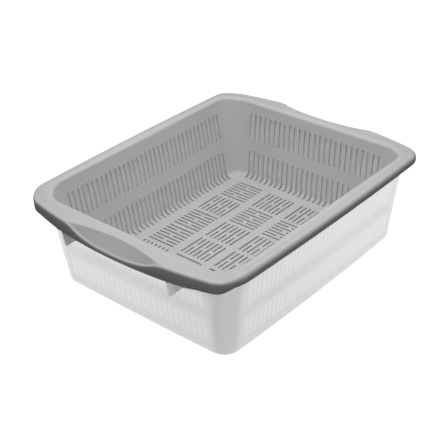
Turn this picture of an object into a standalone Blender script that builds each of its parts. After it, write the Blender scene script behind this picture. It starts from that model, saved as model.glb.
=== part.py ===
"""Slotted draining basket hanging by its rim inside a clear tub.

Metres, +Z up. The object stands on the ground plane with its long side along X.
Two separate mouldings: the tub, and the basket that nests in it and lifts out.
"""
import math

import bmesh
import bpy

MM = 0.001

# Overall heights; the rim is lower on the short sides
RIM_TOP = 109.2
RIM_SHORT_TOP = 105.9
SHEET = 1.8
SEAT_GAP = 0.3
CORNER_GAP = 1.2

# Basket bowl: inner half sizes at floor level, growth per mm of height
BASKET_FLOOR = 7.0
BASKET_HALF = (144.6, 115.4)
BASKET_DRAFT = (0.0994, 0.1396)
BASKET_CORNER = (21.0, 29.0)
FLOOR_FILLET = 7.0
MOUTH_ROUND = 3.0

# Basket rim: outline, bow of the sides; then (long side, short side) edge round and droop
RIM_HALF = (164.7, 143.4)
RIM_BOW = (17.4, 3.0)
RIM_CORNER = 23.0
RIM_ROUND = (4.4, 2.5)
RIM_DROOP = (1.0, 1.1)
DROOP_RUN = 10.0
FLANGE = 2.0

# Skirt bottom: long side, corner, handle
SKIRT_BOTTOM = (99.6, 92.4, 89.6)

# Scoop: half length and drop of the edge, half length and reach of its crisp arc
SCOOP_HALF = 62.5
SCOOP_DROP = 10.0
CREST_HALF = 70.0
CREST_REACH = 14.6

# Wall slots
SLOT_WIDTH = 3.8
LONG_PITCH = 7.0
LONG_COUNT = 36
SHORT_PITCH = 7.58
SHORT_COUNT = 26
UPPER_SLOT = (56.7, 91.5)
LOWER_SLOT = (15.5, 41.5)

# Floor slots: blocks of seven, alternating direction
BLOCK_PITCH = (42.26, 50.0)
BAR_SPACING = (5.775, 6.02)
BAR_LENGTH = (36.9, 38.5)
BAR_WIDTH = 2.2
BARS = 7
BLOCK_PATTERN = ("YXYYXY", "XYXXYX", "XYXXYX", "YXYYXY")

# Tub: outer half sizes at the ground, growth per mm of height
TUB_HALF = (148.4, 118.8)
TUB_DRAFT = (0.0987, 0.1388)
TUB_CORNER = (17.0, 27.0)
TUB_BOW = (1.3, 3.0)
TUB_EDGE = 3.0

# Ribs under the handles: place across the handle, then height and reach
RIB_OFFSET = 73.5
RIB_THICK = 2.0
RIB_PROFILE = ((72.2, 175.3), (89.2, 178.0), (89.2, 174.1), (101.8, 174.1))

# Vertices shared by every ring
CORNER_STEPS = 6
SHORT_STATIONS = [k * 2.0 * SHORT_PITCH for k in range(-6, 7)]
LONG_STATIONS = [k * 6.0 * LONG_PITCH for k in range(-2, 3)]


def outline(half_x, half_y, radius):
    """Rounded rectangle as a counter-clockwise list of points."""
    points = []
    centres = (
        (half_x - radius, half_y - radius, 0.0),
        (radius - half_x, half_y - radius, 90.0),
        (radius - half_x, radius - half_y, 180.0),
        (half_x - radius, radius - half_y, 270.0),
    )
    sides = (
        [(-s, half_y) for s in LONG_STATIONS],
        [(-half_x, -s) for s in SHORT_STATIONS],
        [(s, -half_y) for s in LONG_STATIONS],
        [(half_x, s) for s in SHORT_STATIONS],
    )
    for (cx, cy, start), side in zip(centres, sides):
        for step in range(CORNER_STEPS + 1):
            angle = math.radians(start + 90.0 * step / CORNER_STEPS)
            points.append((cx + radius * math.cos(angle), cy + radius * math.sin(angle)))
        points.extend(side)
    return points


def bowed(points, half_x, half_y, bow_x, bow_y):
    """Push the middles of the sides outwards in a gentle arc."""
    result = []
    for x, y in points:
        grow_x = 1.0 + bow_x / half_x * (1.0 - (y / half_y) ** 2)
        grow_y = 1.0 + bow_y / half_y * (1.0 - (x / half_x) ** 2)
        result.append((x * grow_x, y * grow_y))
    return result


def flat_ring(half_x, half_y, radius, height, bow=(0.0, 0.0)):
    """Level ring of vertices at one height."""
    points = outline(half_x, half_y, radius)
    points = bowed(points, half_x, half_y, bow[0], bow[1])
    return [(x, y, height) for x, y in points]


def basket_wall(height, offset=0.0, level=None):
    """Ring on the basket wall, offset outwards, at another level if given."""
    rise = height - BASKET_FLOOR
    share = rise / (RIM_TOP - BASKET_FLOOR)
    radius = BASKET_CORNER[0] + (BASKET_CORNER[1] - BASKET_CORNER[0]) * share + offset
    half_x = BASKET_HALF[0] + BASKET_DRAFT[0] * rise + offset
    half_y = BASKET_HALF[1] + BASKET_DRAFT[1] * rise + offset
    return flat_ring(half_x, half_y, radius, height if level is None else level)


def smoothstep(share):
    """Ease from 0 to 1."""
    share = min(max(share, 0.0), 1.0)
    return share * share * (3.0 - 2.0 * share)


def blend(low, high, share):
    """Value between two others."""
    return low + (high - low) * share


def short_shares():
    """How far each vertex belongs to a short side: 0 on the long sides, 1 on the short ones."""
    return [smoothstep((abs(x) - 500.0) / 500.0) ** 2 for x, y in outline(1000.0, 1000.0, 500.0)]


def mixed(first, second):
    """Ring between two others: the first on the long sides, the second on the short ones."""
    ring = []
    for start, end, share in zip(first, second, short_shares()):
        ring.append(tuple(blend(low, high, share) for low, high in zip(start, end)))
    return ring


def mouth_ring(depth, offset, drop):
    """Ring on the basket wall, measured and drawn at depths below the rim's top."""
    high = basket_wall(RIM_TOP - depth, offset, RIM_TOP - drop)
    low = basket_wall(RIM_SHORT_TOP - depth, offset, RIM_SHORT_TOP - drop)
    return mixed(high, low)


def tub_top_ring(offset):
    """Ring of the tub's top edge, just under the rim."""
    gap = FLANGE + SEAT_GAP
    ring = mixed(tub_wall(RIM_TOP - gap, offset), tub_wall(RIM_SHORT_TOP - gap, offset))
    shares = short_shares()
    return [(x, y, z - 4.0 * CORNER_GAP * share * (1.0 - share)) for (x, y, z), share in zip(ring, shares)]


def rim_spots():
    """Cross-sections of the rim, one for each vertex of its outline."""
    step = 5.0
    half_x, half_y = RIM_HALF
    outer = bowed(outline(half_x, half_y, RIM_CORNER), half_x, half_y, RIM_BOW[0], RIM_BOW[1])
    inner = outline(half_x - step, half_y - step, RIM_CORNER - step)
    inner = bowed(inner, half_x - step, half_y - step, RIM_BOW[0], RIM_BOW[1])
    seat = tub_wall(RIM_TOP - FLANGE, 0.5)
    spots = []
    for share, far, near, (seat_x, seat_y, _) in zip(short_shares(), outer, inner, seat):
        y = abs(far[1])
        radius = blend(RIM_ROUND[0], RIM_ROUND[1], share)
        reach, dip = 0.0, 0.0
        if share > 0.999:
            reach = CREST_REACH * max(1.0 - (y / CREST_HALF) ** 2, 0.0)
            dip = SCOOP_DROP * max(1.0 - (y / SCOOP_HALF) ** 3, 0.0)
        handle = blend(SKIRT_BOTTOM[2], SKIRT_BOTTOM[1], smoothstep((y - 75.0) / 50.0))
        spots.append({
            "seat": (seat_x, seat_y),
            "outer": far,
            "inward": ((near[0] - far[0]) / step, (near[1] - far[1]) / step),
            "top": blend(RIM_TOP, RIM_SHORT_TOP, share),
            "droop": blend(RIM_DROOP[0], RIM_DROOP[1], share),
            "dip": dip,
            "radius": radius,
            "reach": max(reach, radius + 0.5),
            "bottom": blend(SKIRT_BOTTOM[0], handle, share * share),
        })
    return spots


def rim_place(spot, inset):
    """Point this far in from the rim's outline."""
    return (spot["outer"][0] + spot["inward"][0] * inset, spot["outer"][1] + spot["inward"][1] * inset)


def rim_level(spot, place):
    """Height of the sloping rim before its scoop is taken out."""
    run = min(DROOP_RUN, math.dist(spot["seat"], rim_place(spot, spot["radius"])))
    return spot["top"] - spot["droop"] * smoothstep(math.dist(spot["seat"], place) / run)


def rim_deck(spot, share, thick=0.0):
    """Point between the seat (0) and the crisp arc of the scoop (1)."""
    crest = rim_place(spot, spot["reach"])
    place = (blend(spot["seat"][0], crest[0], share), blend(spot["seat"][1], crest[1], share))
    return (place[0], place[1], rim_level(spot, place) - thick)


def rim_edge(spot, turn, thick=0.0):
    """Point on the rounded edge, from its top (0) to the skirt (1)."""
    angle = math.radians(90.0 * turn)
    radius = spot["radius"] - thick
    place = rim_place(spot, thick + radius * (1.0 - math.sin(angle)))
    top = spot["top"] - spot["droop"] - spot["dip"] - thick
    return (place[0], place[1], top - radius * (1.0 - math.cos(angle)))


def rim_rings():
    """Rings from the seat over the edge and the skirt, back under to the seat."""
    spots = rim_spots()
    rings = [[rim_deck(spot, share) for spot in spots] for share in (0.0, 0.5, 1.0)]
    rings += [[rim_edge(spot, turn) for spot in spots] for turn in (0.0, 0.5, 1.0)]
    for inset in (0.0, FLANGE):
        rings.append([(*rim_place(spot, inset), spot["bottom"]) for spot in spots])
    rings += [[rim_edge(spot, turn, FLANGE) for spot in spots] for turn in (1.0, 0.0)]
    rings += [[rim_deck(spot, share, FLANGE) for spot in spots] for share in (1.0, 0.5, 0.0)]
    return rings


def loft(name, rings):
    """Closed body through a list of rings, first and last capped flat."""
    mesh = bmesh.new()
    layers = [[mesh.verts.new((x * MM, y * MM, z * MM)) for x, y, z in ring] for ring in rings]
    count = len(layers[0])
    for low, high in zip(layers, layers[1:]):
        for index in range(count):
            after = (index + 1) % count
            mesh.faces.new((low[index], low[after], high[after], high[index]))
    mesh.faces.new(reversed(layers[0]))
    mesh.faces.new(layers[-1])
    bmesh.ops.recalc_face_normals(mesh, faces=mesh.faces)
    return finished(name, mesh)


def finished(name, mesh):
    """Turn a bmesh into a linked object."""
    data = bpy.data.meshes.new(name)
    mesh.to_mesh(data)
    mesh.free()
    item = bpy.data.objects.new(name, data)
    bpy.context.scene.collection.objects.link(item)
    return item


def add_box(mesh, low, high):
    """Closed box between two corners, in mm."""
    corners = []
    for z in (low[2], high[2]):
        for x, y in ((low[0], low[1]), (high[0], low[1]), (high[0], high[1]), (low[0], high[1])):
            corners.append(mesh.verts.new((x * MM, y * MM, z * MM)))
    for face in ((3, 2, 1, 0), (4, 5, 6, 7), (0, 1, 5, 4), (1, 2, 6, 5), (2, 3, 7, 6), (3, 0, 4, 7)):
        mesh.faces.new([corners[index] for index in face])


def wall_slot_boxes(mesh, low, high):
    """Cutters for one row of upright slots on all four walls."""
    middle = 0.5 * (low + high) - BASKET_FLOOR
    wall_x = BASKET_HALF[0] + BASKET_DRAFT[0] * middle + 0.5 * SHEET
    wall_y = BASKET_HALF[1] + BASKET_DRAFT[1] * middle + 0.5 * SHEET
    half = 0.5 * SLOT_WIDTH
    for side in (-1.0, 1.0):
        for index in range(SHORT_COUNT):
            y = (index - 0.5 * (SHORT_COUNT - 1)) * SHORT_PITCH
            x_low, x_high = sorted((side * (wall_x - 5.0), side * (wall_x + 5.0)))
            add_box(mesh, (x_low, y - half, low), (x_high, y + half, high))
        for index in range(LONG_COUNT):
            x = (index - 0.5 * (LONG_COUNT - 1)) * LONG_PITCH
            y_low, y_high = sorted((side * (wall_y - 6.0), side * (wall_y + 6.0)))
            add_box(mesh, (x - half, y_low, low), (x + half, y_high, high))


def floor_slot_boxes(mesh):
    """Cutters for the blocks of fine slots in the floor."""
    low = BASKET_FLOOR - SHEET - 1.0
    high = BASKET_FLOOR + 1.0
    half = 0.5 * BAR_WIDTH
    for row, line in enumerate(BLOCK_PATTERN):
        y_mid = (row - 0.5 * (len(BLOCK_PATTERN) - 1)) * BLOCK_PITCH[1]
        for column, kind in enumerate(line):
            x_mid = (column - 0.5 * (len(line) - 1)) * BLOCK_PITCH[0]
            for bar in range(BARS):
                step = bar - 0.5 * (BARS - 1)
                if kind == "X":
                    y = y_mid + step * BAR_SPACING[1]
                    reach = 0.5 * BAR_LENGTH[0]
                    add_box(mesh, (x_mid - reach, y - half, low), (x_mid + reach, y + half, high))
                else:
                    x = x_mid + step * BAR_SPACING[0]
                    reach = 0.5 * BAR_LENGTH[1]
                    add_box(mesh, (x - half, y_mid - reach, low), (x + half, y_mid + reach, high))


def combine(item, cutter, operation):
    """Boolean with a second object, which is then removed."""
    modifier = item.modifiers.new(operation.lower(), "BOOLEAN")
    modifier.object = cutter
    modifier.operation = operation
    modifier.solver = "EXACT"
    graph = bpy.context.evaluated_depsgraph_get()
    result = bpy.data.meshes.new_from_object(item.evaluated_get(graph))
    item.modifiers.clear()
    item.data = result
    bpy.data.objects.remove(cutter, do_unlink=True)


def basket_body():
    """The basket moulding before its slots are cut."""
    centre = BASKET_FLOOR + FLOOR_FILLET
    inner_mid = FLOOR_FILLET * math.sin(math.radians(45.0))
    outer = FLOOR_FILLET + SHEET
    outer_mid = outer * math.sin(math.radians(45.0))
    rings = [
        basket_wall(centre, -FLOOR_FILLET, BASKET_FLOOR),
        basket_wall(centre, inner_mid - FLOOR_FILLET, centre - inner_mid),
        basket_wall(centre),
        mouth_ring(MOUTH_ROUND, 0.0, MOUTH_ROUND),
        mouth_ring(MOUTH_ROUND, 0.3 * MOUTH_ROUND, 0.3 * MOUTH_ROUND),
        mouth_ring(MOUTH_ROUND, MOUTH_ROUND, 0.0),
    ]
    rings += rim_rings()
    rings += [
        mouth_ring(MOUTH_ROUND, SHEET + 0.8, FLANGE),
        mouth_ring(MOUTH_ROUND, SHEET, FLANGE + 1.0),
        basket_wall(centre, SHEET),
        basket_wall(centre, outer_mid - FLOOR_FILLET, centre - outer_mid),
        basket_wall(centre, -FLOOR_FILLET, BASKET_FLOOR - SHEET),
    ]
    return loft("draining_basket", rings)


def tub_wall(height, offset=0.0, level=None, radius_offset=None):
    """Ring on the tub wall, offset outwards, at another level if given."""
    share = height / RIM_TOP
    radius = TUB_CORNER[0] + (TUB_CORNER[1] - TUB_CORNER[0]) * share
    radius += offset if radius_offset is None else radius_offset
    half_x = TUB_HALF[0] + TUB_DRAFT[0] * height + offset
    half_y = TUB_HALF[1] + TUB_DRAFT[1] * height + offset
    return flat_ring(half_x, half_y, radius, height if level is None else level, TUB_BOW)


def tub_body():
    """The tub, its top edge under the rim of the basket."""
    edge = 0.3 * TUB_EDGE
    rings = [
        tub_wall(0.0, -TUB_EDGE),
        tub_wall(0.0, -edge, edge),
        tub_wall(TUB_EDGE),
        tub_top_ring(0.0),
        tub_top_ring(-SHEET),
        tub_wall(SHEET + TUB_EDGE, -SHEET),
        tub_wall(SHEET, -SHEET - edge, SHEET + edge),
        tub_wall(SHEET, -SHEET - TUB_EDGE, SHEET),
    ]
    return loft("tub", rings)


def rib_prisms():
    """Upright ribs beside both handles, their inner edges set in the tub wall."""
    mesh = bmesh.new()
    for side in (-1.0, 1.0):
        for hand in (-1.0, 1.0):
            outer = [(reach, height) for height, reach in RIB_PROFILE]
            inner = [(rib_root(height), height) for height in (RIB_PROFILE[-1][0], RIB_PROFILE[0][0])]
            profile = outer + inner
            layers = []
            for y in (hand * RIB_OFFSET - 0.5 * RIB_THICK, hand * RIB_OFFSET + 0.5 * RIB_THICK):
                layers.append([mesh.verts.new((side * x * MM, y * MM, z * MM)) for x, z in profile])
            count = len(profile)
            for index in range(count):
                after = (index + 1) % count
                mesh.faces.new((layers[0][index], layers[0][after], layers[1][after], layers[1][index]))
            mesh.faces.new(layers[0])
            mesh.faces.new(reversed(layers[1]))
    bmesh.ops.recalc_face_normals(mesh, faces=mesh.faces)
    return finished("rib_prisms", mesh)


def rib_root(height):
    """Middle of the tub wall where a rib grows out of it."""
    half_y = TUB_HALF[1] + TUB_DRAFT[1] * height
    bow = TUB_BOW[0] * (1.0 - (RIB_OFFSET / half_y) ** 2)
    return TUB_HALF[0] + TUB_DRAFT[0] * height + bow - 0.5 * SHEET


def material(name, colour, roughness, transmission=0.0, alpha=1.0):
    """Principled material with a plain colour."""
    made = bpy.data.materials.new(name)
    made.use_nodes = True
    shader = made.node_tree.nodes["Principled BSDF"]
    shader.inputs["Base Color"].default_value = (colour[0], colour[1], colour[2], 1.0)
    shader.inputs["Roughness"].default_value = roughness
    shader.inputs["Transmission Weight"].default_value = transmission
    shader.inputs["Alpha"].default_value = alpha
    return made


def shade(item, finish):
    """Give an object its material and smooth its curved faces."""
    item.data.materials.clear()
    item.data.materials.append(finish)
    for face in item.data.polygons:
        face.material_index = 0
        face.use_smooth = True
    item.data.set_sharp_from_angle(angle=math.radians(35.0))


def main():
    for item in list(bpy.data.objects):
        bpy.data.objects.remove(item, do_unlink=True)

    tub = tub_body()
    combine(tub, rib_prisms(), "UNION")
    shade(tub, material("clear_tub", (0.86, 0.87, 0.87), 0.35, 0.6, 0.45))

    basket = basket_body()
    mesh = bmesh.new()
    wall_slot_boxes(mesh, UPPER_SLOT[0], UPPER_SLOT[1])
    wall_slot_boxes(mesh, LOWER_SLOT[0], LOWER_SLOT[1])
    floor_slot_boxes(mesh)
    combine(basket, finished("slot_cutters", mesh), "DIFFERENCE")
    shade(basket, material("grey_basket", (0.42, 0.42, 0.43), 0.5))


main()
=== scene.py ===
"""Slotted draining basket hanging by its rim in a frosted tub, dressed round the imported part.

Sizes in the classes are millimetres. Meshes are written in metres in the part's own frame: +X along
the long side, +Z up, the ground at zero.
"""

from __future__ import annotations

import logging
import math
from dataclasses import dataclass
from enum import Enum
from typing import Iterable, Sequence

import bmesh
import bpy
from bpy.types import Material, Node, NodeSocket, NodeTree, Object
from mathutils import Matrix, Vector


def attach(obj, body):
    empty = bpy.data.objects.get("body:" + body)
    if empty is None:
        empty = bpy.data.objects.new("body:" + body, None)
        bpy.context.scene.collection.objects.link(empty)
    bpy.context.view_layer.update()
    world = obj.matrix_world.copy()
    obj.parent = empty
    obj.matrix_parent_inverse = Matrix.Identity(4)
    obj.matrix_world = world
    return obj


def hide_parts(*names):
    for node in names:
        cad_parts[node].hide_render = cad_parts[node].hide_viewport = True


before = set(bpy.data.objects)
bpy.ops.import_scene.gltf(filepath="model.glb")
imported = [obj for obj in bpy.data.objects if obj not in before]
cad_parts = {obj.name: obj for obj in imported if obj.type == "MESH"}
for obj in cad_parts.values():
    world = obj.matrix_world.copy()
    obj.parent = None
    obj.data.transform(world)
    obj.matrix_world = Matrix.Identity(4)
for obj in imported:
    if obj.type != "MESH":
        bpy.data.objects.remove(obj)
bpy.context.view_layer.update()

LOG = logging.getLogger("basket_and_tub")
MM = 0.001
WELD = 0.00002
SHARP_ANGLE = 32.0
WHITE = (1.0, 1.0, 1.0, 1.0)

Pair = tuple[float, float]
Point = tuple[float, float, float]
Ring = list[Point]
Colour = tuple[float, float, float]


class Wall(Enum):
    """Which pair of walls a row of slots lies on, as the turn from the long walls in degrees."""

    LONG = 0.0
    SHORT = 90.0


class BarRun(Enum):
    """Which way the slots of a floor block run, as the turn from the X direction in degrees."""

    ALONG_X = 0.0
    ALONG_Y = 90.0


# ---- shapes


def smoothstep(share: float) -> float:
    """Ease from 0 to 1, held at both ends."""
    share = min(max(share, 0.0), 1.0)
    return share * share * (3.0 - 2.0 * share)


def blend(low: float, high: float, share: float) -> float:
    """Value between two others."""
    return low + (high - low) * share


def mixed(first: Ring, second: Ring, shares: Sequence[float]) -> Ring:
    """Ring between two others, with a share of its own for each point."""
    return [
        tuple(blend(low, high, share) for low, high in zip(start, end))
        for start, end, share in zip(first, second, shares)
    ]


def quarter(steps: int) -> list[float]:
    """Angles of a quarter turn, in equal steps from 0 to 90 degrees."""
    return [math.radians(90.0 * step / steps) for step in range(steps + 1)]


@dataclass(frozen=True)
class Plan:
    """Where every ring of a moulding has its vertices: stations on the sides, steps in the corners.

    The stations fall in the solid strips between two slots, so that a slot never meets one.
    """

    long_pitch: float = 7.0
    long_count: int = 36
    short_pitch: float = 7.58
    short_count: int = 26
    corner_steps: int = 14
    end_steps: int = 3

    def side(self, reach: float, pitch: float, count: int) -> list[float]:
        """Places along one straight side: the strips between slots, and a few more out to the corner.

        Args:
            reach: Where the corner begins.
            pitch: Distance from slot to slot.
            count: Number of slots in the row.

        Returns:
            The places, lowest first.
        """
        inner = [(k - 0.5 * count) * pitch for k in range(1, count)]
        last, gaps = inner[-1], self.end_steps + 1
        extra = [last + (reach - last) * k / gaps for k in range(1, gaps)]
        return [-place for place in reversed(extra)] + inner + extra

    def rectangle(self, half_x: float, half_y: float, radius: float) -> list[Pair]:
        """Rounded rectangle, counter-clockwise.

        Args:
            half_x: Half size along X.
            half_y: Half size along Y.
            radius: Corner radius.

        Returns:
            The points, always the same number of them.
        """
        along = self.side(half_x - radius, self.long_pitch, self.long_count)
        across = self.side(half_y - radius, self.short_pitch, self.short_count)
        sides = (
            [(-s, half_y) for s in along],
            [(-half_x, -s) for s in across],
            [(s, -half_y) for s in along],
            [(half_x, s) for s in across],
        )
        signs = ((1.0, 1.0), (-1.0, 1.0), (-1.0, -1.0), (1.0, -1.0))
        points: list[Pair] = []
        for turn, ((sign_x, sign_y), side) in enumerate(zip(signs, sides)):
            centre_x = sign_x * (half_x - radius)
            centre_y = sign_y * (half_y - radius)
            for step in range(self.corner_steps + 1):
                angle = math.radians(90.0 * (turn + step / self.corner_steps))
                points.append((centre_x + radius * math.cos(angle), centre_y + radius * math.sin(angle)))
            points.extend(side)
        return points

    def shares(self) -> list[float]:
        """How far each point belongs to a short side: 0 on the long sides, 1 on the short ones."""
        size = 500.0
        unit = self.rectangle(2.0 * size, 2.0 * size, size)
        return [smoothstep((abs(x) - size) / size) ** 2 for x, _ in unit]

    def bowed(self, half: Pair, radius: float, bow: Pair) -> list[Pair]:
        """Rounded rectangle whose sides swell outwards in the middle.

        Args:
            half: Half sizes along X and Y at the corners.
            radius: Corner radius.
            bow: How far the short sides and the long sides swell.

        Returns:
            The points.
        """
        swollen = []
        for x, y in self.rectangle(half[0], half[1], radius):
            grow_x = 1.0 + bow[0] / half[0] * (1.0 - (y / half[1]) ** 2)
            grow_y = 1.0 + bow[1] / half[1] * (1.0 - (x / half[0]) ** 2)
            swollen.append((x * grow_x, y * grow_y))
        return swollen


@dataclass(frozen=True)
class Bowl:
    """Four drafted walls with rounded corners. Sizes are those of one face of the wall."""

    half: Pair
    draft: Pair
    corner: Pair
    foot: float
    height: float
    bow: Pair
    plan: Plan

    def ring(self, height: float, offset: float = 0.0, level: float | None = None) -> Ring:
        """One ring of the wall.

        Args:
            height: Height at which the wall is measured.
            offset: Distance outwards from the wall's face.
            level: Height at which the ring is drawn, the same as height if left out.

        Returns:
            The ring's points.
        """
        rise = height - self.foot
        radius = self.corner[0] + (self.corner[1] - self.corner[0]) * rise / self.height + offset
        half = self.half_at(height, offset)
        drawn = height if level is None else level
        return [(x, y, drawn) for x, y in self.plan.bowed(half, radius, self.bow)]

    def half_at(self, height: float, offset: float = 0.0) -> Pair:
        """Half sizes of the wall's face at a height, offset outwards."""
        rise = height - self.foot
        return (self.half[0] + self.draft[0] * rise + offset, self.half[1] + self.draft[1] * rise + offset)

    def fillet(self, radius: float, foot: float, shell: float, steps: int) -> list[Ring]:
        """Rings of the round between floor and wall, from the floor up.

        Args:
            radius: Radius of the round on this face.
            foot: Height of the floor on this face.
            shell: Distance of this face outwards from the wall's reference face.
            steps: Number of strips in the round.

        Returns:
            The rings, the first level with the floor.
        """
        centre = foot + radius
        rings = []
        for angle in quarter(steps):
            inward = radius * (1.0 - math.sin(angle))
            rings.append(self.ring(centre, shell - inward, centre - radius * math.cos(angle)))
        return rings


@dataclass(frozen=True)
class Scoop:
    """Hollow for the fingers in the rim's short sides: a lens between a crisp arc and the rim's edge."""

    half: float = 62.5
    drop: float = 10.0
    crest_half: float = 70.0
    crest_reach: float = 14.6

    def reach(self, y: float) -> float:
        """How far the crisp arc stands in from the rim's outline at a place along the handle."""
        return self.crest_reach * max(1.0 - (y / self.crest_half) ** 2, 0.0)

    def depth(self, y: float) -> float:
        """How far the rim's edge dips at a place along the handle."""
        return self.drop * max(1.0 - (abs(y) / self.half) ** 3, 0.0)


@dataclass(frozen=True)
class RimSpot:
    """Cross-section of the rim at one vertex of its outline."""

    seat: Pair
    outer: Pair
    inward: Pair
    top: float
    droop: float
    droop_run: float
    dip: float
    radius: float
    reach: float
    bottom: float

    def place(self, inset: float) -> Pair:
        """Point this far in from the outline."""
        return (self.outer[0] + self.inward[0] * inset, self.outer[1] + self.inward[1] * inset)

    def level(self, spot: Pair) -> float:
        """Height of the sloping rim over a point, before the scoop is taken out."""
        run = min(self.droop_run, math.dist(self.seat, self.place(self.radius)))
        return self.top - self.droop * smoothstep(math.dist(self.seat, spot) / run)

    def deck(self, share: float, thick: float = 0.0) -> Point:
        """Point of the rim's top between the seat and the crisp arc, or that far under it."""
        crest = self.place(self.reach)
        spot = (blend(self.seat[0], crest[0], share), blend(self.seat[1], crest[1], share))
        return (*spot, self.level(spot) - thick)

    def hollow(self, share: float, thick: float = 0.0) -> Point:
        """Point between the crisp arc and the rounded edge, or that far under it."""
        crest = self.place(self.reach)
        spot = self.place(blend(self.reach, self.radius, share))
        return (*spot, blend(self.level(crest), self.top - self.droop - self.dip, share) - thick)

    def edge(self, turn: float, thick: float = 0.0) -> Point:
        """Point on the rounded edge, turn going from 0 at the top to 1 at the skirt."""
        angle = math.radians(90.0 * turn)
        radius = self.radius - thick
        spot = self.place(thick + radius * (1.0 - math.sin(angle)))
        return (*spot, self.top - self.droop - self.dip - thick - radius * (1.0 - math.cos(angle)))

    def skirt(self, inset: float, lift: float) -> Point:
        """Point of the skirt's lower edge."""
        return (*self.place(inset), self.bottom + lift)


@dataclass(frozen=True)
class Rim:
    """Rim sloping to a rounded edge and a turned-down skirt, hollowed at both short sides."""

    plan: Plan
    scoop: Scoop
    seat: Bowl
    top: float = 109.2
    short_top: float = 105.9
    half: Pair = (164.7, 143.4)
    bow: Pair = (17.4, 3.0)
    corner: float = 23.0
    sheet: float = 2.0
    long_round: float = 4.4
    short_round: float = 2.5
    long_droop: float = 1.0
    short_droop: float = 1.1
    droop_run: float = 10.0
    long_bottom: float = 99.6
    corner_bottom: float = 92.4
    handle_bottom: float = 89.6
    handle_half: float = 75.0
    handle_fade: float = 50.0
    seat_offset: float = 0.5
    crest_margin: float = 0.5

    def spots(self) -> list[RimSpot]:
        """Cross-sections all the way round."""
        outer = self.plan.bowed(self.half, self.corner, self.bow)
        probe = 5.0
        inner_half = (self.half[0] - probe, self.half[1] - probe)
        inner = self.plan.bowed(inner_half, self.corner - probe, self.bow)
        seat = self.seat.ring(self.top - self.sheet, self.seat_offset)
        made = []
        for share, far, near, (seat_x, seat_y, _) in zip(self.plan.shares(), outer, inner, seat):
            y = far[1]
            on_handle = share > 0.999
            fade = smoothstep((abs(y) - self.handle_half) / self.handle_fade)
            handle = blend(self.handle_bottom, self.corner_bottom, fade)
            radius = blend(self.long_round, self.short_round, share)
            made.append(
                RimSpot(
                    seat=(seat_x, seat_y),
                    outer=far,
                    inward=((near[0] - far[0]) / probe, (near[1] - far[1]) / probe),
                    top=blend(self.top, self.short_top, share),
                    droop=blend(self.long_droop, self.short_droop, share),
                    droop_run=self.droop_run,
                    dip=self.scoop.depth(y) if on_handle else 0.0,
                    radius=radius,
                    reach=max(self.scoop.reach(y) if on_handle else 0.0, radius + self.crest_margin),
                    bottom=blend(self.long_bottom, handle, share * share),
                )
            )
        return made

    def rings(self) -> list[Ring]:
        """Rings from the seat over the edge and the skirt, back under to the seat."""
        spots = self.spots()
        deck = (0.0, 0.15, 0.3, 0.45, 0.6, 0.8, 0.96, 1.0)
        hollow = (0.03, 0.15, 0.35, 0.6, 0.85)
        under = (1.0, 0.8, 0.6, 0.45, 0.3, 0.15, 0.0)
        made = [[spot.deck(share) for spot in spots] for share in deck]
        made += [[spot.hollow(share) for spot in spots] for share in hollow]
        made += [[spot.edge(step / 6) for spot in spots] for step in range(7)]
        skirt = ((0.0, 0.6), (0.18, 0.18), (0.6, 0.0), (self.sheet - 0.5, 0.0), (self.sheet, 0.5))
        made += [[spot.skirt(inset, lift) for spot in spots] for inset, lift in skirt]
        made += [[spot.edge(step / 3, self.sheet) for spot in spots] for step in (3, 2, 1, 0)]
        made += [[spot.hollow(share, self.sheet) for spot in spots] for share in (0.6, 0.15)]
        made += [[spot.deck(share, self.sheet) for spot in spots] for share in under]
        return made


def skin(mesh: bmesh.types.BMesh, rings: Sequence[Ring]) -> None:
    """Lay quads between rings of equally many points and cap both ends.

    Args:
        mesh: The bmesh that takes them.
        rings: The rings in order along the surface.
    """
    layers = [[mesh.verts.new(Vector(point) * MM) for point in ring] for ring in rings]
    count = len(layers[0])
    for low, high in zip(layers, layers[1:]):
        for index in range(count):
            after = (index + 1) % count
            mesh.faces.new((low[index], low[after], high[after], high[index]))
    mesh.faces.new(list(reversed(layers[0])))
    mesh.faces.new(layers[-1])


def loft(name: str, rings: Sequence[Ring]) -> Object:
    """Closed body through rings of equally many points, capped flat at both ends.

    Args:
        name: Name of the object.
        rings: The rings in order along the surface.

    Returns:
        The new object, in the scene.
    """
    mesh = bmesh.new()
    skin(mesh, rings)
    bmesh.ops.remove_doubles(mesh, verts=mesh.verts, dist=WELD)
    bmesh.ops.recalc_face_normals(mesh, faces=mesh.faces)
    return linked(name, mesh)


def linked(name: str, mesh: bmesh.types.BMesh) -> Object:
    """Turn a bmesh into an object of the scene, at the origin.

    Args:
        name: Name of the object and its mesh.
        mesh: The bmesh, freed here.

    Returns:
        The new object.
    """
    data = bpy.data.meshes.new(name)
    mesh.to_mesh(data)
    mesh.free()
    item = bpy.data.objects.new(name, data)
    bpy.context.scene.collection.objects.link(item)
    return item


def frozen(item: Object) -> None:
    """Replace an object's mesh by its evaluated one and drop its modifiers.

    Args:
        item: The object.
    """
    graph = bpy.context.evaluated_depsgraph_get()
    made = bpy.data.meshes.new_from_object(item.evaluated_get(graph))
    item.modifiers.clear()
    item.data = made


def combined(item: Object, tool: Object, operation: str) -> None:
    """Exact boolean of two objects. The second one is used up.

    Args:
        item: The object that is changed.
        tool: The object cut away or joined on.
        operation: DIFFERENCE or UNION.
    """
    step = item.modifiers.new(operation.lower(), "BOOLEAN")
    step.object = tool
    step.operation = operation
    step.solver = "EXACT"
    frozen(item)
    bpy.data.objects.remove(tool, do_unlink=True)


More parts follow.
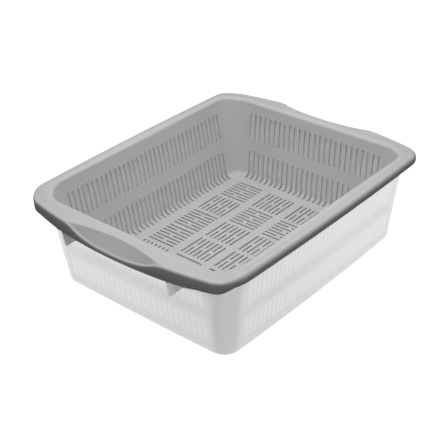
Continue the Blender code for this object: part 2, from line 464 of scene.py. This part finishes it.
def smoothed(item: Object, finish: Material) -> None:
    """Give an object one material, smooth shading and crisp edges where it folds.

    Args:
        item: The object.
        finish: Its material.
    """
    item.data.materials.clear()
    item.data.materials.append(finish)
    for face in item.data.polygons:
        face.material_index = 0
        face.use_smooth = True
    item.data.set_sharp_from_angle(angle=math.radians(SHARP_ANGLE))


# ---- slot cutters


@dataclass(frozen=True)
class SlotCutter:
    """Cutter for one slot: a band as wide as the slot, rounded at both ends, set through a sheet."""

    width: float
    depth: float = 3.4
    end_steps: int = 5
    tip: float = 0.01
    clear_of_end: float = 1.2

    def build(self, path: Sequence[Pair]) -> Object:
        """Sweep the cutter along the sheet.

        Args:
            path: Points (outward, height) along the middle of the sheet, end to end.

        Returns:
            The cutter, at the middle of a row on the wall that faces -Y.
        """
        rings = []
        for outward, height, normal, half in self.spaced(path):
            ring = []
            for side, reach in ((-1, -1), (1, -1), (1, 1), (-1, 1)):
                far = outward + reach * self.depth * normal[0]
                high = height + reach * self.depth * normal[1]
                ring.append((side * half, -far, high))
            rings.append(ring)
        mesh = bmesh.new()
        skin(mesh, rings)
        bmesh.ops.recalc_face_normals(mesh, faces=mesh.faces)
        return linked("slot_cutter", mesh)

    def spaced(self, path: Sequence[Pair]) -> list[tuple[float, float, Pair, float]]:
        """Points along the path with their normals and half widths, close together at the ends.

        Args:
            path: Points (outward, height).

        Returns:
            Rows of outward, height, unit normal and half width.
        """
        radius = 0.5 * self.width
        lengths = [0.0]
        for start, end in zip(path, path[1:]):
            lengths.append(lengths[-1] + math.dist(start, end))
        total = lengths[-1]
        ends = [radius * (1.0 - math.cos(angle)) for angle in quarter(self.end_steps)]
        ends[0] = self.tip * radius
        clear = radius * self.clear_of_end
        inside = [length for length in lengths[1:-1] if clear < length < total - clear]
        marks = ends + inside + [total - end for end in reversed(ends)]
        rows = []
        for mark in marks:
            index = max(k for k in range(len(path) - 1) if lengths[k] <= mark)
            share = (mark - lengths[index]) / (lengths[index + 1] - lengths[index])
            start, end = path[index], path[index + 1]
            spot = (start[0] + share * (end[0] - start[0]), start[1] + share * (end[1] - start[1]))
            before = path[max(index - 1, 0)] if share < self.tip else start
            run = (end[0] - before[0], end[1] - before[1])
            size = math.hypot(*run)
            near = min(mark, total - mark, radius)
            half = math.sqrt(max(radius**2 - (radius - near) ** 2, 0.0))
            rows.append((spot[0], spot[1], (run[1] / size, -run[0] / size), half))
        return rows


class NodeKit:
    """Small helper that adds nodes to a tree of any kind."""

    def __init__(self, tree: NodeTree) -> None:
        """Work in this tree."""
        self.tree = tree

    def sockets(self, way: str, kind: str, *labels: str) -> None:
        """Give the tree named sockets: INPUT or OUTPUT, and their type."""
        for label in labels:
            self.tree.interface.new_socket(label, in_out=way, socket_type=f"NodeSocket{kind}")

    def feed(self, target: Node, links: dict[str | int, object]) -> None:
        """Link or set a node's inputs.

        Args:
            target: The node.
            links: Input name or index to an output socket or a plain value.
        """
        for key, value in links.items():
            if isinstance(value, NodeSocket):
                self.tree.links.new(value, target.inputs[key])
            else:
                target.inputs[key].default_value = value

    def node(self, kind: str, links: dict[str | int, object] | None = None, **settings: object) -> Node:
        """Add a node.

        Args:
            kind: Blender's name for the node type.
            links: Input name or index to an output socket or a plain value.
            settings: Properties of the node.

        Returns:
            The node.
        """
        made = self.tree.nodes.new(kind)
        for key, value in settings.items():
            setattr(made, key, value)
        self.feed(made, links or {})
        return made

    def maths(self, operation: str, *values: object) -> NodeSocket:
        """Output of a Math node."""
        return self.node("ShaderNodeMath", dict(enumerate(values)), operation=operation).outputs[0]


class GeometryKit(NodeKit):
    """A new Geometry Nodes tree with named inputs."""

    def __init__(self, name: str, **inputs: Sequence[str]) -> None:
        """Start a tree that takes a geometry, the named inputs and a material.

        Args:
            name: Name of the tree.
            inputs: Socket types and the names of their inputs.
        """
        super().__init__(bpy.data.node_groups.new(name, "GeometryNodeTree"))
        self.sockets("INPUT", "Geometry", "Geometry")
        self.sockets("OUTPUT", "Geometry", "Geometry")
        for kind, labels in inputs.items():
            self.sockets("INPUT", kind, *labels)
        self.sockets("INPUT", "Material", "Material")
        self.given = self.node("NodeGroupInput").outputs

    def vector(self, x: object, y: object, z: object) -> NodeSocket:
        """Output of a Combine XYZ node."""
        return self.node("ShaderNodeCombineXYZ", {0: x, 1: y, 2: z}).outputs[0]

    def close(self, geometry: NodeSocket) -> NodeTree:
        """End the tree in Realize Instances and Set Material.

        Args:
            geometry: What the tree made.

        Returns:
            The finished tree.
        """
        real = self.node("GeometryNodeRealizeInstances", {0: geometry}).outputs[0]
        painted = self.node("GeometryNodeSetMaterial", {0: real, "Material": self.given["Material"]})
        self.node("NodeGroupOutput", {0: painted.outputs[0]})
        return self.tree


def evaluated(item: Object, tree: NodeTree, values: dict[str, object]) -> Object:
    """Run a Geometry Nodes tree on an object and keep the plain mesh.

    Args:
        item: The object, whose mesh is the tree's first input.
        tree: The tree.
        values: Input names and values.

    Returns:
        The same object.
    """
    step = item.modifiers.new(tree.name, "NODES")
    step.node_group = tree
    inputs = [socket for socket in tree.interface.items_tree if socket.in_out == "INPUT"]
    names = {socket.name: socket.identifier for socket in inputs}
    for label, value in values.items():
        step[names[label]] = value
    frozen(item)
    return item


def slot_row_tree() -> NodeTree:
    """Tree that repeats one slot cutter along two opposite walls."""
    made = GeometryKit("slot_row", Int=("Count",), Float=("Pitch", "Turn"))
    given = made.given
    span = made.maths("MULTIPLY", made.maths("SUBTRACT", given["Count"], 1.0), given["Pitch"])
    start = made.vector(made.maths("MULTIPLY", span, -0.5), 0.0, 0.0)
    step = made.vector(given["Pitch"], 0.0, 0.0)
    links = {"Count": given["Count"], "Start Location": start, "Offset": step}
    line = made.node("GeometryNodeMeshLine", links)
    links = {"Points": line.outputs[0], "Instance": given["Geometry"]}
    row = made.node("GeometryNodeInstanceOnPoints", links)
    row = made.node("GeometryNodeRealizeInstances", {0: row.outputs[0]})
    other = made.node("GeometryNodeTransform", {"Geometry": row.outputs[0], "Rotation": (0.0, 0.0, math.pi)})
    both = made.node("GeometryNodeJoinGeometry", {0: row.outputs[0]})
    made.tree.links.new(other.outputs[0], both.inputs[0])
    turn = made.vector(0.0, 0.0, given["Turn"])
    turned = made.node("GeometryNodeTransform", {"Geometry": both.outputs[0], "Rotation": turn})
    return made.close(turned.outputs[0])


def bar_block_tree() -> NodeTree:
    """Tree that sets a block of fine slots on every vertex: full slots, and bridged ones between."""
    sizes = ("Spacing", "Length", "Width", "Bridge", "Depth", "Turn")
    made = GeometryKit("bar_block", Int=("Bars",), Float=sizes)
    given = made.given
    span = made.maths("MULTIPLY", made.maths("SUBTRACT", given["Bars"], 1.0), given["Spacing"])
    start = made.vector(0.0, made.maths("MULTIPLY", span, -0.5), 0.0)
    step = made.vector(0.0, given["Spacing"], 0.0)
    links = {"Count": given["Bars"], "Start Location": start, "Offset": step}
    line = made.node("GeometryNodeMeshLine", links)
    index = made.node("GeometryNodeInputIndex").outputs[0]
    odd = made.maths("MODULO", index, 2.0)
    short = made.maths("MULTIPLY", made.maths("SUBTRACT", given["Length"], given["Bridge"]), 0.5)
    shift = made.maths("MULTIPLY", made.maths("ADD", short, given["Bridge"]), 0.5)

    def bar(length: NodeSocket) -> NodeSocket:
        """Upright prism with round ends.

        Args:
            length: Its length along X.

        Returns:
            Its geometry.
        """
        radius = made.maths("MULTIPLY", given["Width"], 0.5)
        round_sizes = {"Vertices": 14, "Radius": radius, "Depth": given["Depth"]}
        post = made.node("GeometryNodeMeshCylinder", round_sizes).outputs[0]
        place = made.node("GeometryNodeInputPosition").outputs[0]
        along = made.node("ShaderNodeSeparateXYZ", {0: place}).outputs[0]
        push = made.maths("SUBTRACT", made.maths("MULTIPLY", length, 0.5), radius)
        offset = made.vector(made.maths("MULTIPLY", made.maths("SIGN", along), push), 0.0, 0.0)
        return made.node("GeometryNodeSetPosition", {"Geometry": post, "Offset": offset}).outputs[0]

    half_bar = bar(short)
    pair = made.node("GeometryNodeJoinGeometry")
    for sign in (1.0, -1.0):
        away = made.vector(made.maths("MULTIPLY", shift, sign), 0.0, 0.0)
        moved = made.node("GeometryNodeTransform", {"Geometry": half_bar, "Translation": away})
        made.tree.links.new(moved.outputs[0], pair.inputs[0])
    block = made.node("GeometryNodeJoinGeometry")
    for shape, picked in ((bar(given["Length"]), made.maths("SUBTRACT", 1.0, odd)), (pair.outputs[0], odd)):
        links = {"Points": line.outputs[0], "Instance": shape, "Selection": picked}
        row = made.node("GeometryNodeInstanceOnPoints", links)
        made.tree.links.new(row.outputs[0], block.inputs[0])
    turn = made.vector(0.0, 0.0, given["Turn"])
    turned = made.node("GeometryNodeTransform", {"Geometry": block.outputs[0], "Rotation": turn})
    links = {"Points": given["Geometry"], "Instance": turned.outputs[0]}
    blocks = made.node("GeometryNodeInstanceOnPoints", links)
    return made.close(blocks.outputs[0])


# ---- finishes


class ShaderKit(NodeKit):
    """Helper for a shader node group or the nodes of a material."""

    def ramp(self, value: object, start: float, end: float, low: float, high: float) -> NodeSocket:
        """Value mapped smoothly from one range to another."""
        links = {0: value, 1: start, 2: end, 3: low, 4: high}
        return self.node("ShaderNodeMapRange", links, interpolation_type="SMOOTHSTEP").outputs[0]

    def scaled(self, colour: object, factor: object) -> NodeSocket:
        """Colour made lighter or darker by a factor."""
        links = {0: colour, "Scale": factor}
        return self.node("ShaderNodeVectorMath", links, operation="SCALE").outputs[0]

    def place(self) -> NodeSocket:
        """Object coordinates."""
        return self.node("ShaderNodeTexCoord").outputs["Object"]


def painted_slot_light_group() -> NodeTree:
    """Mask of painted light on the frosted wall: bright in stripes where light would come through the slots
    of the inner wall.

    Returns:
        The group, whose sizes are in metres.
    """
    tree = bpy.data.node_groups.new("painted_slot_light", "ShaderNodeTree")
    kit = ShaderKit(tree)
    kit.sockets("INPUT", "Float", "Long Pitch", "Long Half", "Short Pitch", "Short Half")
    kit.sockets("OUTPUT", "Float", "Mask")
    given = kit.node("NodeGroupInput").outputs
    x, y, z = kit.node("ShaderNodeSeparateXYZ", {0: kit.place()}).outputs
    fade = 0.005
    rows = []
    for foot, top in ((0.012, 0.044), (0.054, 0.094)):
        start = kit.ramp(z, foot, foot + fade, 0.0, 1.0)
        rows.append(kit.maths("MULTIPLY", start, kit.ramp(z, top - fade, top, 1.0, 0.0)))
    stripes = []
    for along, label in ((x, "Long"), (y, "Short")):
        turns = kit.maths("DIVIDE", along, given[f"{label} Pitch"])
        wave = kit.maths("COSINE", kit.maths("MULTIPLY_ADD", turns, 2.0 * math.pi, math.pi))
        inside = kit.maths("LESS_THAN", kit.maths("ABSOLUTE", along), given[f"{label} Half"])
        stripes.append(kit.maths("MULTIPLY", kit.maths("MULTIPLY_ADD", wave, 0.4, 0.6), inside))
    mask = kit.maths("MULTIPLY", kit.maths("ADD", *stripes), kit.maths("ADD", *rows))
    kit.node("NodeGroupOutput", {"Mask": mask})
    return tree


def moulded_group() -> NodeTree:
    """Shared effect of moulded plastic: fine spark texture, faint flow marks and hand-rubbed patches.

    Returns:
        The group.
    """
    tree = bpy.data.node_groups.new("moulded_surface", "ShaderNodeTree")
    kit = ShaderKit(tree)
    kit.sockets("INPUT", "Float", "Grain Size", "Flow Size", "Colour Shift", "Roughness", "Roughness Shift")
    kit.sockets("INPUT", "Color", "Colour")
    kit.sockets("OUTPUT", "Color", "Colour")
    kit.sockets("OUTPUT", "Float", "Roughness", "Height")
    given = kit.node("NodeGroupInput").outputs
    place = kit.place()
    fine = {"Vector": place, "Scale": given["Grain Size"], "Detail": 3.0, "Roughness": 0.6}
    grain = kit.node("ShaderNodeTexNoise", fine).outputs[0]
    broad = {"Vector": place, "Scale": given["Flow Size"], "Detail": 4.0, "Roughness": 0.55}
    broad["Distortion"] = 0.4
    swing = kit.maths("SUBTRACT", kit.node("ShaderNodeTexNoise", broad).outputs[0], 0.5)
    shade = kit.maths("MULTIPLY_ADD", swing, given["Colour Shift"], 1.0)
    rough = kit.maths("MULTIPLY_ADD", swing, given["Roughness Shift"], given["Roughness"])
    rough = kit.maths("MULTIPLY_ADD", grain, 0.06, rough)
    colour = kit.scaled(given["Colour"], shade)
    kit.node("NodeGroupOutput", {"Colour": colour, "Roughness": rough, "Height": grain})
    return tree


@dataclass(frozen=True)
class MouldedPlastic:
    """Finish of one moulding. Constants sit on the shader's own sockets."""

    name: str
    colour: Colour
    roughness: float
    roughness_shift: float
    colour_shift: float
    grain_size: float
    flow_size: float
    bump: float
    bump_height: float = 0.0002
    specular: float = 0.5
    alpha: float = 1.0
    # The last three fields paint shade on the ribs beyond a reach from the middle, and paint light in
    # stripes behind the slots.
    rib_painted_shade_reach: float = 0.0
    rib_painted_shade: float = 1.0
    painted_slot_light: float = 0.0

    def build(self, effect: NodeTree) -> Material:
        """Make the material.

        Args:
            effect: The shared moulded surface group.

        Returns:
            The material.
        """
        made = bpy.data.materials.new(self.name)
        made.use_nodes = True
        kit = ShaderKit(made.node_tree)
        values = {
            "Grain Size": self.grain_size,
            "Flow Size": self.flow_size,
            "Colour Shift": self.colour_shift,
            "Roughness": self.roughness,
            "Roughness Shift": self.roughness_shift,
            "Colour": (*self.colour, 1.0),
        }
        surface = kit.node("ShaderNodeGroup", values, node_tree=effect).outputs
        relief = {"Strength": self.bump, "Distance": self.bump_height, "Height": surface["Height"]}
        colour = surface["Colour"]
        if self.rib_painted_shade_reach > 0.0:
            colour = self.painted_rib_shade_and_slot_light(kit, colour)
        links = {
            "Base Color": colour,
            "Roughness": surface["Roughness"],
            "Normal": kit.node("ShaderNodeBump", relief).outputs[0],
            "Specular IOR Level": self.specular,
            "Alpha": self.alpha,
        }
        kit.feed(made.node_tree.nodes["Principled BSDF"], links)
        return made

    def painted_rib_shade_and_slot_light(self, kit: ShaderKit, colour: NodeSocket) -> NodeSocket:
        """Paint shade on the ribs that stand out from the short walls, and paint light in stripes on the
        walls behind the slots, a little darker elsewhere.

        Args:
            kit: The material's node helper.
            colour: Colour of the moulding.

        Returns:
            The shaded colour.
        """
        along = kit.node("ShaderNodeSeparateXYZ", {0: kit.place()}).outputs[0]
        reach = kit.maths("ABSOLUTE", along)
        # Painted shade: the colour is darkened beyond this reach, where the ribs stand out from the short
        # walls.
        fade = 0.003
        limits = {0: reach, 1: self.rib_painted_shade_reach - fade, 2: self.rib_painted_shade_reach, 3: 1.0, 4: self.rib_painted_shade}
        shade = kit.node("ShaderNodeMapRange", limits).outputs[0]
        plan = Plan()
        sizes = {
            "Long Pitch": plan.long_pitch * MM,
            "Long Half": 0.5 * plan.long_count * plan.long_pitch * MM,
            "Short Pitch": plan.short_pitch * MM,
            "Short Half": 0.5 * plan.short_count * plan.short_pitch * MM,
        }
        # Painted light in stripes behind the slots, with painted shade on the rest of the walls.
        mask = kit.node("ShaderNodeGroup", sizes, node_tree=painted_slot_light_group()).outputs["Mask"]
        lift = kit.maths("MULTIPLY_ADD", mask, self.painted_slot_light, 1.0 - 0.4 * self.painted_slot_light)
        return kit.scaled(colour, kit.maths("MULTIPLY", shade, lift))


GREY_BASKET = MouldedPlastic(
    name="grey_basket_plastic",
    colour=(0.70, 0.70, 0.705),
    roughness=0.44,
    roughness_shift=0.12,
    colour_shift=0.05,
    grain_size=2600.0,
    flow_size=24.0,
    bump=0.12,
    specular=0.42,
)
FROSTED_TUB = MouldedPlastic(
    name="frosted_tub_plastic",
    colour=(0.86, 0.863, 0.865),
    roughness=0.34,
    roughness_shift=0.14,
    colour_shift=0.04,
    grain_size=1800.0,
    flow_size=18.0,
    bump=0.08,
    alpha=0.66,
    # Painted shade on the ribs and painted light in stripes behind the slots.
    rib_painted_shade_reach=0.164,
    rib_painted_shade=0.62,
    painted_slot_light=0.13,
)


# ---- pieces


@dataclass
class Basket:
    """The grey moulding: slotted walls and floor, and the rim that hangs on the tub."""

    plan: Plan
    rim: Rim
    floor: float = 7.0
    sheet: float = 1.8
    half: Pair = (144.6, 115.4)
    draft: Pair = (0.0994, 0.1396)
    corner: Pair = (21.0, 29.0)
    floor_round: float = 7.0
    mouth_round: float = 3.6
    straight_top: float = 97.0
    root_round: float = 1.6
    root_inset: float = 0.5
    slot_width: float = 3.8
    upper_slot: Pair = (56.7, 91.5)
    lower_slot_top: float = 41.5
    lower_slot_reach: float = 7.6
    bars: int = 7
    bar_width: float = 2.3
    bridge: float = 4.5
    block_pitch: Pair = (42.26, 50.0)
    bar_spacing: Pair = (6.02, 5.775)
    bar_length: Pair = (36.9, 38.5)

    def bowl(self) -> Bowl:
        """Inner face of the basket's walls."""
        height = self.rim.top - self.floor
        return Bowl(self.half, self.draft, self.corner, self.floor, height, (0.0, 0.0), self.plan)

    def shell(self) -> Object:
        """The moulding before its slots are cut."""
        bowl = self.bowl()
        rings = bowl.fillet(self.floor_round, self.floor, 0.0, 8)
        rings.append(bowl.ring(self.straight_top))
        depth = self.mouth_round
        for angle in quarter(6):
            outward, drop = depth * (1.0 - math.cos(angle)), depth * (1.0 - math.sin(angle))
            rings.append(self.mouth_ring(depth, outward, drop))
        rings += self.rim.rings()
        under = self.rim.sheet
        rings.append(self.mouth_ring(depth, self.sheet + self.root_round, under))
        rings.append(self.mouth_ring(depth, self.sheet + self.root_inset, under + self.root_inset))
        rings.append(self.mouth_ring(depth + 1.0, self.sheet, under + self.root_round))
        outer = bowl.fillet(self.floor_round + self.sheet, self.floor - self.sheet, self.sheet, 8)
        rings += reversed(outer)
        return loft("draining_basket_moulding", rings)

    def mouth_ring(self, depth: float, offset: float, drop: float) -> Ring:
        """Ring near the mouth, which is lower at the short sides.

        Args:
            depth: How far below the rim's top the wall is measured.
            offset: Distance outwards from the wall's inner face.
            drop: How far below the rim's top the ring is drawn.

        Returns:
            The ring's points.
        """
        tops = (self.rim.top, self.rim.short_top)
        high, low = (self.bowl().ring(top - depth, offset, top - drop) for top in tops)
        return mixed(high, low, self.plan.shares())

    def wall_path(self, wall: Wall, low: float, high: float) -> list[Pair]:
        """Straight path up the middle of a wall's thickness, as (outward, height)."""
        axis = 0 if wall is Wall.SHORT else 1
        bowl = self.bowl()
        return [(bowl.half_at(height, 0.5 * self.sheet)[axis], height) for height in (low, high)]

    def foot_path(self, wall: Wall) -> list[Pair]:
        """Path along the middle of the sheet from the floor round the fillet and up the wall.

        Args:
            wall: The wall.

        Returns:
            Points (outward, height).
        """
        axis = 0 if wall is Wall.SHORT else 1
        bowl = self.bowl()
        centre = self.floor + self.floor_round
        edge = bowl.half_at(centre)[axis] - self.floor_round
        radius = self.floor_round + 0.5 * self.sheet
        path = [(bowl.half_at(self.floor)[axis] - self.lower_slot_reach, centre - radius)]
        for angle in quarter(6):
            spot = (edge + radius * math.sin(angle), centre - radius * math.cos(angle))
            if spot[0] > path[-1][0] + 0.3:
                path.append(spot)
        path.append((bowl.half_at(self.lower_slot_top, 0.5 * self.sheet)[axis], self.lower_slot_top))
        return path

    def cut_walls(self, item: Object, rows: NodeTree, finish: Material) -> None:
        """Cut both rows of slots in all four walls.

        Args:
            item: The moulding.
            rows: Tree that repeats a cutter along two walls.
            finish: Material of the cutters, which their cut faces hand on.
        """
        cutter = SlotCutter(self.slot_width)
        counts = {
            Wall.LONG: (self.plan.long_count, self.plan.long_pitch),
            Wall.SHORT: (self.plan.short_count, self.plan.short_pitch),
        }
        for wall, (count, pitch) in counts.items():
            for path in (self.wall_path(wall, *self.upper_slot), self.foot_path(wall)):
                turn = math.radians(wall.value)
                values = {"Count": count, "Pitch": pitch * MM, "Turn": turn, "Material": finish}
                combined(item, evaluated(cutter.build(path), rows, values), "DIFFERENCE")

    def cut_floor(self, item: Object, blocks: NodeTree, finish: Material) -> None:
        """Cut the blocks of fine slots in the floor, turned this way and that.

        Args:
            item: The moulding.
            blocks: Tree that sets a block on every vertex.
            finish: Material of the cutters.
        """
        for run in BarRun:
            mesh = bmesh.new()
            for column in range(6):
                for row in range(4):
                    turned = (column in (1, 4)) != (row in (1, 2))
                    if turned == (run is BarRun.ALONG_X):
                        x = (column - 2.5) * self.block_pitch[0]
                        y = (row - 1.5) * self.block_pitch[1]
                        mesh.verts.new(Vector((x, y, self.floor - 0.5 * self.sheet)) * MM)
            axis = 0 if run is BarRun.ALONG_X else 1
            values = {
                "Bars": self.bars,
                "Spacing": self.bar_spacing[axis] * MM,
                "Length": self.bar_length[axis] * MM,
                "Width": self.bar_width * MM,
                "Bridge": self.bridge * MM,
                "Depth": (self.sheet + 2.0) * MM,
                "Turn": math.radians(run.value),
                "Material": finish,
            }
            combined(item, evaluated(linked("floor_cutter", mesh), blocks, values), "DIFFERENCE")

    def build(self, finish: Material) -> Object:
        """Make the basket and hang it on its body.

        Args:
            finish: The grey plastic.

        Returns:
            The finished piece.
        """
        item = self.shell()
        self.cut_walls(item, slot_row_tree(), finish)
        self.cut_floor(item, bar_block_tree(), finish)
        smoothed(item, finish)
        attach(item, "basket_body")
        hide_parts("draining_basket")
        return item


@dataclass
class Tub:
    """The frosted moulding the basket hangs in, with ribs beside the handles."""

    plan: Plan
    sheet: float = 1.8
    half: Pair = (148.4, 118.8)
    draft: Pair = (0.0987, 0.1388)
    corner: Pair = (17.0, 27.0)
    bow: Pair = (1.3, 3.0)
    edge: float = 3.0
    lip_round: float = 0.5
    full_height: float = 109.2
    wall_heights: tuple[float, ...] = (20.0, 45.0, 70.0, 90.0)
    top: float = 106.9
    short_top: float = 103.6
    corner_gap: float = 1.2
    rib_offset: float = 73.5
    rib_thick: float = 1.9
    rib_outline: tuple[Pair, ...] = ((72.2, 175.3), (89.2, 178.0), (89.2, 174.1), (101.8, 174.1))

    def bowl(self) -> Bowl:
        """Outer face of the tub's walls."""
        return Bowl(self.half, self.draft, self.corner, 0.0, self.full_height, self.bow, self.plan)

    def shell(self) -> Object:
        """Walls and base."""
        bowl = self.bowl()
        rings = bowl.fillet(self.edge, 0.0, 0.0, 5)
        rings += [bowl.ring(height) for height in self.wall_heights]
        lip, soft = self.lip_round, 0.3 * self.lip_round
        edge = ((lip, 0.0), (soft, -soft), (0.0, -lip), (0.0, lip - self.sheet), (lip, -self.sheet))
        for drop, offset in edge:
            high, low = (bowl.ring(top - drop, offset) for top in (self.top, self.short_top))
            shares = self.plan.shares()
            ring = mixed(high, low, shares)
            sag = [4.0 * self.corner_gap * share * (1.0 - share) for share in shares]
            rings.append([(x, y, z - down) for (x, y, z), down in zip(ring, sag)])
        rings += [bowl.ring(height, -self.sheet) for height in reversed(self.wall_heights)]
        rings += reversed(bowl.fillet(self.edge, self.sheet, -self.sheet, 5))
        return loft("tub_moulding", rings)

    def ribs(self) -> Object:
        """Four upright ribs, rooted in the middle of the short walls."""
        mesh = bmesh.new()
        outer = [(reach, height) for height, reach in self.rib_outline]
        inner = [(self.rib_root(height), height) for height in (outer[-1][1], outer[0][1])]
        for side in (-1.0, 1.0):
            for hand in (-1.0, 1.0):
                faces = [hand * self.rib_offset + shift * self.rib_thick for shift in (-0.5, 0.5)]
                skin(mesh, [[(side * x, y, z) for x, z in outer + inner] for y in faces])
        bmesh.ops.recalc_face_normals(mesh, faces=mesh.faces)
        return linked("tub_ribs", mesh)

    def rib_root(self, height: float) -> float:
        """Middle of the short wall's thickness at a rib."""
        half = self.bowl().half_at(height)
        bow = self.bow[0] * (1.0 - (self.rib_offset / half[1]) ** 2)
        return half[0] + bow - 0.5 * self.sheet

    def build(self, finish: Material) -> Object:
        """Make the tub and put it on its body.

        Args:
            finish: The frosted plastic.

        Returns:
            The finished piece.
        """
        item = self.shell()
        combined(item, self.ribs(), "UNION")
        smoothed(item, finish)
        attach(item, "tub_body")
        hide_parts("tub")
        return item


# ---- studio


@dataclass(frozen=True)
class SoftBox:
    """One area light."""

    name: str
    place: Point
    target: Point
    size: Pair
    power: float

    def build(self) -> Object:
        """Put the light in the scene, aimed at its target.

        Returns:
            The lamp.
        """
        data = bpy.data.lights.new(self.name, "AREA")
        data.shape = "RECTANGLE"
        data.size, data.size_y = self.size
        data.energy = self.power
        lamp = bpy.data.objects.new(self.name, data)
        lamp.location = self.place
        aim = Vector(self.target) - Vector(self.place)
        lamp.rotation_euler = aim.to_track_quat("-Z", "Y").to_euler()
        lamp.visible_camera = False
        bpy.context.scene.collection.objects.link(lamp)
        return lamp


@dataclass(frozen=True)
class Studio:
    """Pale floor, soft light from above and the camera."""

    place: Point = (-0.7255, -0.6474, 0.6354)
    azimuth: float = -49.2123
    elevation: float = 31.4911
    roll: float = -1.9054
    lens: float = 81.9946
    shift: float = -0.05
    floor_half: float = 6.0
    floor_level: float = -0.0002
    floor_tone: float = 0.25
    floor_glow: float = 0.96
    floor_bounce: float = 0.06
    sky: float = 0.45
    sky_low: float = 0.02
    wash_place: Point = (1.8, 0.44, 0.12)
    short_wash: float = 25.0
    long_wash: float = 29.0

    def camera(self) -> Object:
        """Camera with hardly any shift and no depth of field.

        Returns:
            The camera, made the scene's own.
        """
        data = bpy.data.cameras.new("view_camera")
        data.sensor_width = 36.0
        data.lens = self.lens
        data.shift_x = self.shift
        data.clip_start = 0.01
        data.clip_end = 50.0
        azimuth, elevation = math.radians(self.azimuth), math.radians(self.elevation)
        level = math.cos(elevation)
        back = Vector((math.sin(azimuth) * level, -math.cos(azimuth) * level, math.sin(elevation)))
        right = (-back).cross(Vector((0.0, 0.0, 1.0))).normalized()
        turned = Matrix.Rotation(math.radians(-self.roll), 3, -back)
        right = turned @ right
        up = back.cross(right)
        basis = Matrix((right, up, back)).transposed().to_4x4()
        item = bpy.data.objects.new("view_camera", data)
        item.matrix_world = Matrix.Translation(self.place) @ basis
        bpy.context.scene.collection.objects.link(item)
        bpy.context.scene.camera = item
        return item

    def floor(self) -> Object:
        """Large pale floor just under the object.

        Returns:
            The floor.
        """
        mesh = bmesh.new()
        size = self.floor_half
        corners = ((-size, -size), (size, -size), (size, size), (-size, size))
        mesh.faces.new([mesh.verts.new((x, y, self.floor_level)) for x, y in corners])
        item = linked("studio_floor", mesh)
        made = bpy.data.materials.new("pale_floor")
        made.use_nodes = True
        kit = ShaderKit(made.node_tree)
        seen = kit.node("ShaderNodeLightPath").outputs["Is Camera Ray"]
        limits = {0: seen, 3: self.floor_bounce, 4: self.floor_tone}
        links = {
            "Base Color": kit.node("ShaderNodeMapRange", limits).outputs[0],
            "Emission Strength": kit.maths("MULTIPLY", seen, self.floor_glow),
            "Emission Color": WHITE,
            "Roughness": 0.9,
            "Specular IOR Level": 0.1,
        }
        kit.feed(made.node_tree.nodes["Principled BSDF"], links)
        item.data.materials.append(made)
        return item

    def sky_light(self) -> None:
        """Even soft light from the whole sky, a little weaker towards the horizon."""
        world = bpy.data.worlds.new("studio_sky")
        bpy.context.scene.world = world
        world.use_nodes = True
        kit = ShaderKit(world.node_tree)
        place = kit.node("ShaderNodeTexCoord").outputs["Generated"]
        height = kit.node("ShaderNodeSeparateXYZ", {0: place}).outputs[2]
        seen = kit.node("ShaderNodeLightPath").outputs["Is Camera Ray"]
        limits = {0: height, 1: 0.15, 2: 0.6, 3: self.sky_low, 4: self.sky}
        glow = kit.node("ShaderNodeMapRange", limits).outputs[0]
        tone = kit.node("ShaderNodeMix", {0: seen, 2: glow, 3: 1.0}, data_type="FLOAT").outputs[0]
        kit.feed(world.node_tree.nodes["Background"], {"Color": WHITE, "Strength": tone})

    def lights(self, tub: Object) -> None:
        """Overhead softbox, and four low washes that fall on the tub only, one for each wall.

        Args:
            tub: The frosted piece.
        """
        SoftBox("overhead_softbox", (0.0, 0.0, 0.47), (0.0, 0.0, 0.0), (0.3, 0.24), 0.81).build()
        only = bpy.data.collections.new("lit_by_tub_wash")
        only.objects.link(tub)
        far, aside, height = self.wash_place
        washes = (
            ("left", (-far, aside, height), self.short_wash),
            ("front", (aside, -far, height), self.long_wash),
            ("right", (far, -aside, height), self.short_wash),
            ("back", (-aside, far, height), self.long_wash),
        )
        for name, place, power in washes:
            wash = SoftBox(f"tub_wash_{name}", place, (0.0, 0.0, 0.05), (0.9, 0.2), power).build()
            wash.light_linking.receiver_collection = only

    def build(self, tub: Object) -> None:
        """Set the whole studio.

        Args:
            tub: The frosted piece, which has washes of its own.
        """
        bpy.context.scene.view_settings.view_transform = "Standard"
        self.camera()
        self.floor()
        self.sky_light()
        self.lights(tub)


def corners(box: Iterable[Vector]) -> list[list[float]]:
    """A box's two corners as plain lists."""
    return [[float(value) for value in corner] for corner in box]


def main() -> None:
    """Build both mouldings and the studio."""
    logging.basicConfig(level=logging.INFO, format="%(name)s: %(message)s")
    plan = Plan()
    effect = moulded_group()
    rim = Rim(plan, Scoop(), Tub(plan).bowl())
    basket = Basket(plan, rim).build(GREY_BASKET.build(effect))
    tub = Tub(plan).build(FROSTED_TUB.build(effect))
    for piece in (basket, tub):
        piece.data.calc_loop_triangles()
        LOG.info("%s: %d triangles", piece.name, len(piece.data.loop_triangles))
    Studio().build(tub)


if __name__ == "__main__":
    main()
